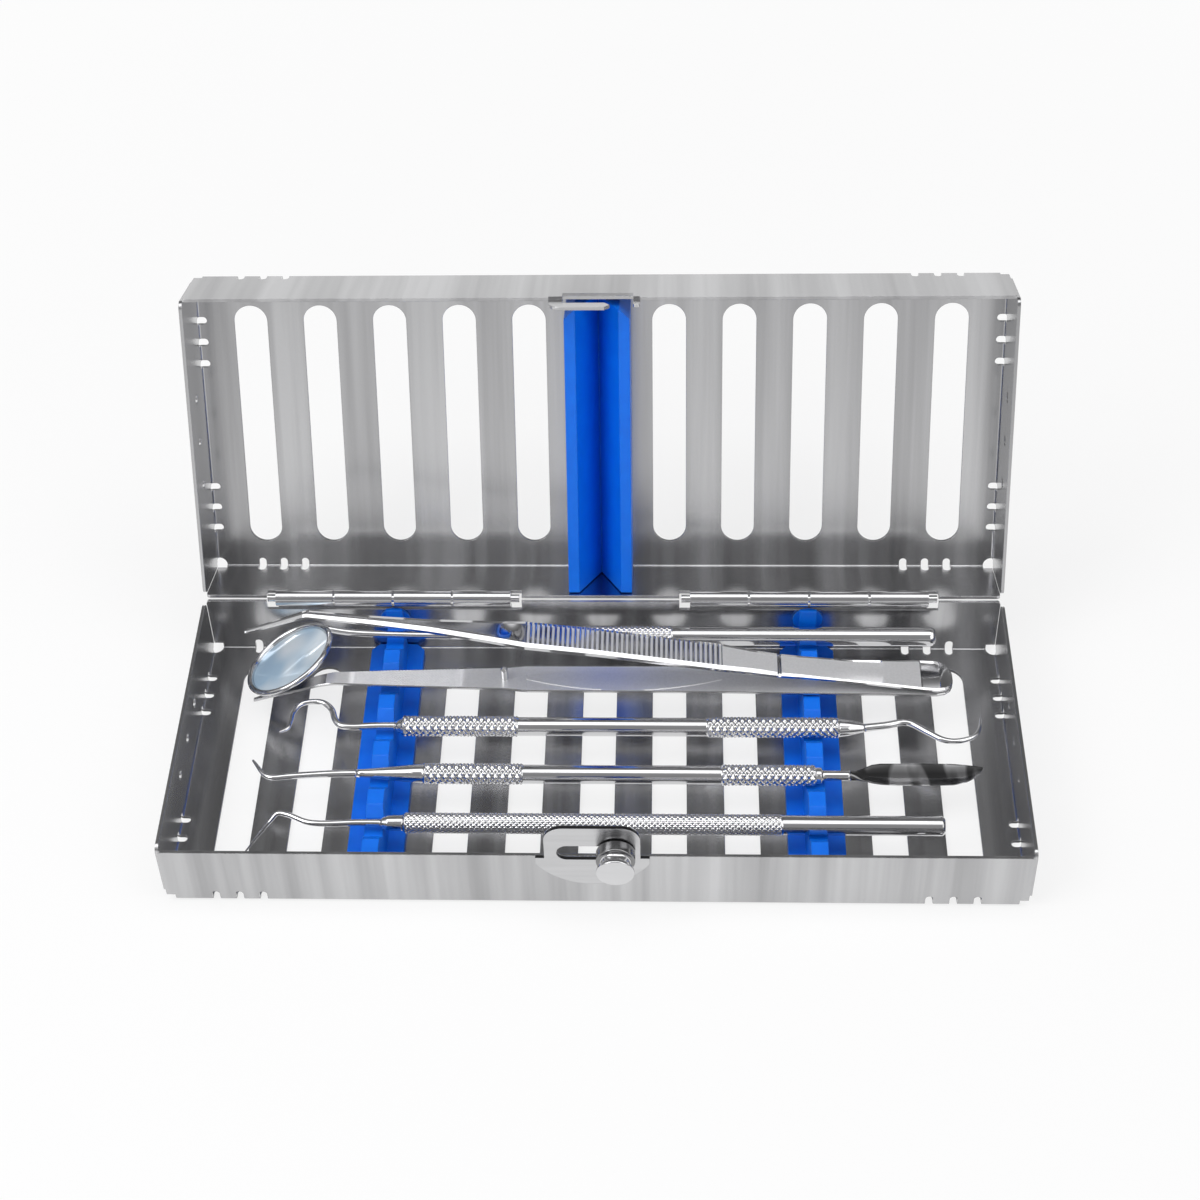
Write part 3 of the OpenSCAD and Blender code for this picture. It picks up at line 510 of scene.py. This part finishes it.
EXPLORER_LEFT = [[-50.7, -25.6, 11, 0.9], [-56, -25.6, 11, 0.82], [-65.5, -25.9, 11, 0.74],
                 [-68.5, -25.4, 11, 0.7], [-73.5, -23.2, 11, 0.64], [-75.6, -23.0, 10.9, 0.58],
                 [-77.2, -24.3, 9.8, 0.5], [-83.5, -28.4, 3.2, 0.2]]
for name, path, body, node in (
        ("mirror_stem", MIRROR_WIRE, "mirror", "mirror_shank"),
        ("scaler_hook", SCALER_LEFT, "scaler", "scaler_hook_left"),
        ("scaler_sickle", SCALER_RIGHT, "scaler", "scaler_hook_right"),
        ("carver_probe", CARVER_LEFT, "carver", "carver_tip"),
        ("explorer_point", EXPLORER_LEFT, "explorer", "explorer_shank")):
    put(wire(name, path, POLISHED), body, STEEL_SLOT, node)


MIRROR_CENTRE, MIRROR_TURN, MIRROR_LEAN = (-78, 25.2, 11.7), 163.3, 28.7


def mirror_place():
    """The mirror head's place: local Z along its glass's normal."""
    return (Matrix.Translation(MIRROR_CENTRE)
            @ Matrix.Rotation(math.radians(MIRROR_TURN), 4, "Z")
            @ Matrix.Rotation(math.radians(MIRROR_LEAN), 4, "Y"))


def arc(cx, cz, r, start, end, n):
    """Points of a circular arc from start to end degrees."""
    t = np.radians(np.linspace(start, end, n))
    return [(cx + r * math.cos(a), cz + r * math.sin(a)) for a in t]


def mirror_head():
    """The steel cup: a rolled rim over a shallow dish, and the glass set inside it."""
    rim = ([(0.02, -0.2), (10.98, -0.2), (11.02, 0.3)] + arc(11.78, 0.38, 0.72, 175, -50, 18)
           + [(12.0, -0.4), (11.6, -0.68), (11.1, -0.86), (10.4, -0.97), (9.0, -1.0),
              (0.02, -1.0)])
    put(lathe("mirror_cup", rim, mirror_place(), MIRROR_STEEL),
        "mirror", STEEL_SLOT, "mirror_frame")
    glass = [(0.02, 0.2), (10.7, 0.2), (10.9, 0.12), (10.97, 0.0), (10.97, -0.18), (0.02, -0.18)]
    put(lathe("mirror_face", glass, mirror_place(), GLASS),
        "mirror", "mirror_glass", "mirror_glass")


mirror_head()


def carver_blade():
    """The carver's leaf: between two edges low(x), high(x), hollowed across its width.

    Across, w runs -1..1. Above ROW_Z the top is t (h w^2 - 0.05) and the underside is
    -0.5 t (1 - w^4), with t(x) the thickness and h(x) = 0.3 + 0.03 sin(0.75 x + 1). Over the
    first 4 mm, the neck, both change over from a round section, +-t sqrt(1 - w^2).
    """
    xs = [60.6, 62, 64, 66, 68, 72, 80, 85, 88, 90.2, 91.6, 92.4]
    high = [-9.5, -9.3, -8.5, -7.5, -7.15, -7.05, -7.0, -7.1, -7.3, -7.6, -7.8, -7.98]
    low = [-11.9, -12.0, -12.5, -13.2, -13.6, -13.8, -13.8, -13.6, -12.8, -11.4, -9.8, -8.3]
    t = [1.2, 1.15, 1.05, 1.0, 1.0, 1.0, 0.95, 0.9, 0.8, 0.6, 0.4, 0.2]
    x = np.linspace(xs[0], xs[-1], 160)
    hi, lo, th = (np.interp(x, xs, v) for v in (high, low, t))
    for arr in (hi, lo, th):
        arr[1:-1] = (arr[:-2] + arr[1:-1] * 2 + arr[2:]) / 4
    across = 24
    w = np.concatenate([np.linspace(1, -1, across), np.linspace(-1, 1, across)[1:-1]])
    top = np.arange(len(w)) < across
    neck = np.clip((x - xs[0]) / 4, 0, 1)[:, None]
    depth = 0.3 + 0.03 * np.sin(0.75 * x + 1.0)
    hollow = depth[:, None] * w[None] ** 2 - 0.05
    round_top = np.sqrt(np.maximum(0, 1 - w ** 2))
    z_top = th[:, None] * (neck * hollow + (1 - neck) * round_top)
    z_low = -th[:, None] * (neck * 0.5 * (1 - w ** 4) + (1 - neck) * round_top)
    z_low = np.minimum(z_low, z_top - 0.02)
    z_edge = th[:, None] * neck * (depth[:, None] - 0.05)
    z = np.where(top[None], z_top, np.where(np.abs(w)[None] > 0.999, z_edge, z_low))
    y = lo[:, None] + (hi - lo)[:, None] * (w[None] + 1) / 2
    rings = np.stack([np.repeat(x[:, None], len(w), 1), y, ROW_Z + z], -1)
    return surface("carver_leaf", rings, BLADE)


put(carver_blade(), "carver", STEEL_SLOT, "carver_blade")


# The tweezers: heights of each arm's top and underside and its half width, as tables along x

UPPER_TOP = [(-86.4, 30.1), (-70.8, 36.8), (-45, 33.4), (-17.6, 29.7), (0, 27.1), (30.5, 21.7),
             (44.5, 18.7), (62, 16.4), (82.5, 14.7), (85, 14.45), (86.6, 13.95), (87.2, 13.5)]
UPPER_UNDER = [(-86.2, 29.3), (-70.6, 35.6), (-45, 31.9), (-17.6, 28), (0, 25.4), (30.5, 20),
               (44.5, 17.3), (62, 15.4), (84, 13.4), (87.2, 13.4)]
UPPER_PLAN = [(-86.6, 0.5), (-70.8, 1.1), (-55, 1.4), (-41, 2), (-26, 3.3), (-17.6, 4.2),
              (30.5, 4.2), (37, 3.8), (50, 3.5), (62, 3.6), (70, 4.1), (80, 4.8), (83, 4.85),
              (85, 4.4), (86.3, 3.4), (87, 2), (87.2, 0.9)]
LOWER_TOP = [(-87.6, 4.7), (-70.3, 12.1), (-66.4, 13.1), (87.2, 13.1)]
LOWER_UNDER = [(-87.3, 3.9), (-69.8, 11), (-66, 11.9), (87.2, 11.9)]
LOWER_PLAN = [(-87.6, 0.5), (-75, 1.5), (-52, 2.6), (-23, 3.5), (-17.6, 4.1), (30.5, 4.2),
              (44.5, 4.5), (80, 5), (83, 4.95), (85, 4.5), (86.3, 3.5), (87, 2), (87.2, 0.9)]
CROWN = [(-87, 0.05), (55, 0.1), (64, 0.5), (69.6, 0.6), (70.2, 0.0), (79, 0.0), (79.6, 0.6),
         (87.2, 0.9)]
RIB_ZONE, RIB_PITCH, RIB_DEPTH = (-17.6, 30.5), 1.2, 0.34
JOINT_X, JOINT_DEPTH = 44.5, 0.5
THUMB_X, BLASTED_END, BUTT_X = -21.0, 79.3, 84
LEAST_THICKNESS = 0.12
PAST_EDGE = 2.0          # stands for a y / w beyond an arm's edges


def read(x, table):
    """A table of (x, value) read at x."""
    return np.interp(x, *np.array(table, float).T)


def eased(x, table):
    """A table of (x, value) read at x, its corners eased over 0.8 mm either side."""
    return sum(read(x + shift, table) for shift in (-0.8, -0.4, 0, 0.4, 0.8)) / 5


def arm(name, top, under, plan, chamfer, relief, blasted, material, ends, across):
    """A tweezers arm: eight-sided sections between top(x) and under(x), w(x) to either side.

    Columns run round a section from its front edge over the top and back underneath.
    chamfer gives how far the upper corners are cut across, as a table along x, the fall of that
    cut, and how far the lower corners are cut across and down. The top has across points; it is
    lowered by relief(x, y / w), a number of millimetres, and is blasted where blasted(x) says so.
    """
    x = np.unique(np.round(np.concatenate([np.linspace(*ends, 900),
                                           np.arange(RIB_ZONE[0] - 1, RIB_ZONE[1] + 1, 0.1),
                                           np.arange(JOINT_X - 1, JOINT_X + 1, 0.05)]), 3))
    z_top, z_under, w = eased(x, top), eased(x, under), read(x, plan)
    z_top = np.maximum(z_top, z_under + LEAST_THICKNESS)
    deep = z_top - z_under
    top_cut, fall, under_y, under_z = chamfer
    ty = np.minimum(read(x, top_cut), 0.7 * w)
    tz = np.minimum(ty * fall, 0.45 * deep)
    uy = np.minimum(under_y, 0.5 * w)
    uz = np.minimum(under_z, 0.45 * deep)
    joint = relief(x, np.full_like(x, PAST_EDGE))
    columns = [(w, z_under + uz), (w, z_top - tz - joint)]
    for f in np.linspace(1, -1, across):
        y = f * (w - ty)
        columns.append((y, z_top - relief(x, y / w)))
    columns[-1] = (-(w - ty), z_top - joint)
    columns += [(-w, z_top - tz - joint), (-w, z_under + uz), (-(w - uy), z_under),
                (w - uy, z_under)]
    y = np.stack([c[0] for c in columns], 1)
    z = np.stack([c[1] for c in columns], 1)
    rings = np.stack([np.repeat(x[:, None], y.shape[1], 1), TWEEZERS_Y + y, z], -1)
    column = np.arange(y.shape[1])
    face = (column >= 2) & (column < across + 1)
    middle = (x[1:] + x[:-1]) / 2
    return surface(name, rings, material, smooth=False,
                   inlay=(BLASTED, blasted(middle)[:, None] & face[None]))


def rib_wave(x):
    """1 on a rib and 0 between ribs, once every pitch."""
    return np.clip(0.5 + 2.0 * np.cos(2 * np.pi * x / RIB_PITCH), 0, 1)


def in_ribs(x):
    """Whether x lies in the ribbed zone."""
    return (x > RIB_ZONE[0]) & (x < RIB_ZONE[1])


def upper_relief(x, across):
    """The upper arm's ribs, its joint's groove, its thumb hollow, and an arched crown.

    Past the edges only the joint's groove is left.
    """
    joint = JOINT_DEPTH * np.clip(1.4 - np.abs(x - JOINT_X) / 0.4, 0, 1)
    ribs = np.where(in_ribs(x), RIB_DEPTH * (1 - rib_wave(x)), 0.05)
    hollow = 0.5 * np.exp(-((x - THUMB_X) / 2.2) ** 2) * np.clip(1 - across ** 2 * 1.6, 0, 1)
    crown = read(x, CROWN) * across ** 2 * np.where(x > BUTT_X, 0.3, 1.0)
    return np.where(across == PAST_EDGE, joint, np.maximum(ribs, joint) + crown + hollow)


def upper_blasted(x):
    """The upper arm's outer face is blasted but for its tip, rib gaps, joint and end."""
    gap = in_ribs(x) & (rib_wave(x) < 0.4)
    return (x > RIB_ZONE[0]) & (x < BLASTED_END) & ~gap & (np.abs(x - JOINT_X) > 0.5)


def lower_relief(x, across):
    """Crossed serrations 0.22 deep on the inner face near the tip, and a raised lens-shaped pad.

    The serrations are V grooves where sin(3.9 (x +- y)) = 0; the pad's rim is sunk 0.1 mm.
    """
    y = across * read(x, LOWER_PLAN)
    nearest = np.minimum(np.abs(np.sin(3.9 * (x + y))), np.abs(np.sin(3.9 * (x - y))))
    zone = np.clip(np.minimum(x + 63, -33 - x) / 3, 0, 1)
    rim = (x > -18) & (x < RIB_ZONE[1]) & (np.abs(across) > 0.95 - ((x - 6) / 26) ** 2)
    face = 0.22 * zone * np.clip(1 - nearest / 0.6, 0, 1) + np.where(rim, 0.1, 0)
    return np.where(across == PAST_EDGE, 0, face)


def lower_blasted(x):
    """The lower arm's inner face is blasted from its serrations to its butt."""
    return x > -68


UPPER_CUT = [(-87, 1.1), (-20, 1.05), (40, 1.0), (46, 0.75), (60, 0.5), (87.2, 0.6)]
LOWER_CUT = [(-88, 0.2), (88, 0.2)]
put(arm("tweezers_top_arm", UPPER_TOP, UPPER_UNDER, UPPER_PLAN, (UPPER_CUT, 0.47, 0.25, 0.25),
        upper_relief, upper_blasted, POLISHED, (-86.35, 87.15), 31),
    "tweezers_top", STEEL_SLOT, "tweezers_upper_arm")
put(arm("tweezers_bottom_arm", LOWER_TOP, LOWER_UNDER, LOWER_PLAN, (LOWER_CUT, 1.0, 1.2, 0.5),
        lower_relief, lower_blasted, SATIN, (-87.3, 87.15), 45),
    "tweezers", STEEL_SLOT, "tweezers_lower_arm")


# The latch knob

KNOB_CENTRE = (5.4, -41.55, 21.2)
FLANGE_HEIGHT = 2.95


def latch_knob():
    """The knob turned about Y: face, waist, a flange in painted shade and the shaft through the
    slot.
    """
    place = Matrix.Translation(KNOB_CENTRE) @ Matrix.Rotation(math.radians(90), 4, "X")
    profile = ([(0.02, 6.05), (3.7, 6.05)] + arc(4.05, 5.75, 0.3, 90, 0, 6)
               + arc(4.05, 5.3, 0.3, 0, -80, 5)
               + [(3.45, 4.9), (3.35, 4.7), (3.35, 3.3), (3.5, FLANGE_HEIGHT)]
               + arc(4.2, 2.5, 0.3, 100, 0, 6) + [(4.5, 0.3)] + arc(4.25, 0.25, 0.25, 0, -90, 5)
               + [(1.5, 0.0), (1.5, -3.5), (0.02, -3.5)])
    # Below FLANGE_HEIGHT the knob wears the steel darkened with painted shade.
    return lathe("latch_button", profile, place, POLISHED, 96, (FLANGE_SHADE_STEEL, FLANGE_HEIGHT))


put(latch_knob(), "knob", STEEL_SLOT, "latch_knob")


# Finishes on the CAD's own pieces

def finish(names, material):
    """A material on the CAD nodes named."""
    for name in names:
        NODES[name].data.materials.clear()
        NODES[name].data.materials.append(material)


finish(["base_tray"], BASE_SHEET)
finish(["lid_tray"], LID_SHEET)
finish(["rail_left", "rail_right", "lid_rail"], SILICONE)
finish(["latch_plate", "lid_hook"], PLATE)
finish(["latch_knob_head", "tweezers_guide_pin", "hinge_pin_left", "hinge_pin_right"], POLISHED)
finish(["hinge_leaf_base_left", "hinge_leaf_base_right", "hinge_leaf_lid_left",
        "hinge_leaf_lid_right"], BARREL)


# Floor, light and camera

def ray_kinds(tree):
    """1 for a camera ray, and 1 for a glossy or transmitted ray."""
    path = tree.nodes.new("ShaderNodeLightPath").outputs
    mirrored = math_node(tree, "MAXIMUM", path["Is Glossy Ray"], path["Is Transmission Ray"])
    return path["Is Camera Ray"], mirrored


def lit_as_background(tree, shader_socket, output):
    """Camera, glossy and transmission rays see a share of plain white; the rest keeps the shadow.

    The share grows from 0.75 at 0.15 m from the middle to all of it at 0.6 m, so that the floor
    has no visible edge.
    """
    glow = tree.nodes.new("ShaderNodeEmission")
    glow.inputs["Color"].default_value = (1, 1, 1, 1)
    glow.inputs["Strength"].default_value = 1.0
    coords = tree.nodes.new("ShaderNodeTexCoord")
    reach = tree.nodes.new("ShaderNodeVectorMath")
    reach.operation = "LENGTH"
    tree.links.new(coords.outputs["Object"], reach.inputs[0])
    fade = ramp_range(tree, reach.outputs["Value"], 0.75, 1.0, 0.15, 0.6)
    share = math_node(tree, "MULTIPLY", math_node(tree, "MAXIMUM", *ray_kinds(tree)), fade)
    mix = tree.nodes.new("ShaderNodeMixShader")
    tree.links.new(share, mix.inputs[0])
    tree.links.new(shader_socket, mix.inputs[1])
    tree.links.new(glow.outputs[0], mix.inputs[2])
    tree.links.new(mix.outputs[0], output.inputs["Surface"])


def floor():
    """A plain pale floor under the part."""
    size = 1.5
    mesh = bpy.data.meshes.new("floor")
    mesh.from_pydata([(-size, -size, 0), (size, -size, 0), (size, size, 0), (-size, size, 0)], [],
                     [(0, 1, 2, 3)])
    obj = bpy.data.objects.new("floor", mesh)
    obj.location.z = -0.0001
    bpy.context.scene.collection.objects.link(obj)
    mat, tree, shader = new_material("floor")
    shader.inputs["Base Color"].default_value = (0.86, 0.86, 0.86, 1)
    shader.inputs["Roughness"].default_value = 0.9
    shader.inputs["Specular IOR Level"].default_value = 0.0
    lit_as_background(tree, shader.outputs[0], tree.nodes["Material Output"])
    mesh.materials.append(mat)


# The sky's brightness: share of the way from the rear horizon to the front one, and level
SKY = [(0.0, 0.85), (0.05, 0.75), (0.10, 0.22), (0.30, 0.14), (0.36, 0.30), (0.41, 0.8),
       (0.60, 0.8), (0.66, 0.34), (0.86, 0.30), (0.94, 0.62), (1.0, 0.70)]


def world():
    """A studio that is white to the camera and banded for lighting and for reflections.

    The bands follow the angle from the rear horizon (0) over the top (0.5) to the front (1). Near
    the horizon glossy and transmitted rays see a share of the plain white background too.
    """
    sky = bpy.data.worlds.new("studio")
    sky.use_nodes = True
    bpy.context.scene.world = sky
    tree = sky.node_tree
    background = tree.nodes["Background"]
    coords = tree.nodes.new("ShaderNodeTexCoord")
    split = tree.nodes.new("ShaderNodeSeparateXYZ")
    tree.links.new(coords.outputs["Generated"], split.inputs["Vector"])
    height = math_node(tree, "MAXIMUM", split.outputs["Z"], 0.0)
    turn = math_node(tree, "ARCTAN2", height, split.outputs["Y"])
    share = math_node(tree, "DIVIDE", turn, math.pi)
    ramp = tree.nodes.new("ShaderNodeValToRGB")
    stops = ramp.color_ramp.elements
    for element, (at, level) in zip(stops, (SKY[0], SKY[-1])):
        element.position, element.color = at, (level, level, level, 1)
    for at, level in SKY[1:-1]:
        stops.new(at).color = (level, level, level * 1.01, 1)
    tree.links.new(share, ramp.inputs["Fac"])
    low_band = ramp_range(tree, height, 0.4, 0.0, 0.05, 0.2)
    direct, mirrored = ray_kinds(tree)
    white = math_node(tree, "MAXIMUM", direct, math_node(tree, "MULTIPLY", mirrored, low_band))
    seen = mix_colour(tree, white, ramp.outputs["Color"], (1.0, 1.0, 1.0))
    tree.links.new(seen, background.inputs["Color"])
    background.inputs["Strength"].default_value = 1.0


def softbox(name, place, target, size, watts):
    """A rectangular area lamp aimed at a point."""
    lamp = bpy.data.lights.new(name, "AREA")
    lamp.shape = "RECTANGLE"
    lamp.size, lamp.size_y = size
    lamp.energy = watts
    obj = bpy.data.objects.new(name, lamp)
    obj.location = place
    obj.rotation_mode = "QUATERNION"
    obj.rotation_quaternion = (Vector(target) - Vector(place)).to_track_quat("-Z", "Y")
    bpy.context.scene.collection.objects.link(obj)


PHOTO_SIDE = 1200        # pixels


def camera():
    """The photo's camera: place, yaw, tilt and roll solved from the trays' straight edges."""
    data = bpy.data.cameras.new("camera")
    data.lens = 70.45
    data.sensor_width = 36.0
    data.shift_x = 34 / PHOTO_SIDE
    data.shift_y = -120 / PHOTO_SIDE
    data.clip_start, data.clip_end = 0.01, 20
    yaw, tilt, roll = (math.radians(a) for a in (3.704, 43.789, -2.604))
    ahead = Vector((-math.sin(yaw), math.cos(yaw), 0))
    forward = ahead * math.cos(tilt) - Vector((0, 0, math.sin(tilt)))
    up = ahead * math.sin(tilt) + Vector((0, 0, math.cos(tilt)))
    right = Vector((math.cos(yaw), math.sin(yaw), 0))
    r = right * math.cos(roll) + up * math.sin(roll)
    u = -right * math.sin(roll) + up * math.cos(roll)
    turn = Matrix((r, u, -forward)).transposed()
    obj = bpy.data.objects.new("camera", data)
    obj.rotation_mode = "QUATERNION"
    obj.rotation_quaternion = turn.to_quaternion()
    obj.location = (0.01908, -0.36799, 0.45222)
    bpy.context.scene.collection.objects.link(obj)
    bpy.context.scene.camera = obj


floor()
world()
softbox("top", (0.0, -0.02, 0.85), (0, 0.0, 0.02), (1.5, 0.45), 3.3)
softbox("key", (-0.6, -0.35, 0.7), (0, 0.02, 0.02), (0.5, 0.5), 3.0)
softbox("fill", (0.6, -0.45, 0.5), (0, 0.02, 0.02), (0.5, 0.5), 1.2)
camera()
bpy.context.scene.view_settings.view_transform = "Standard"
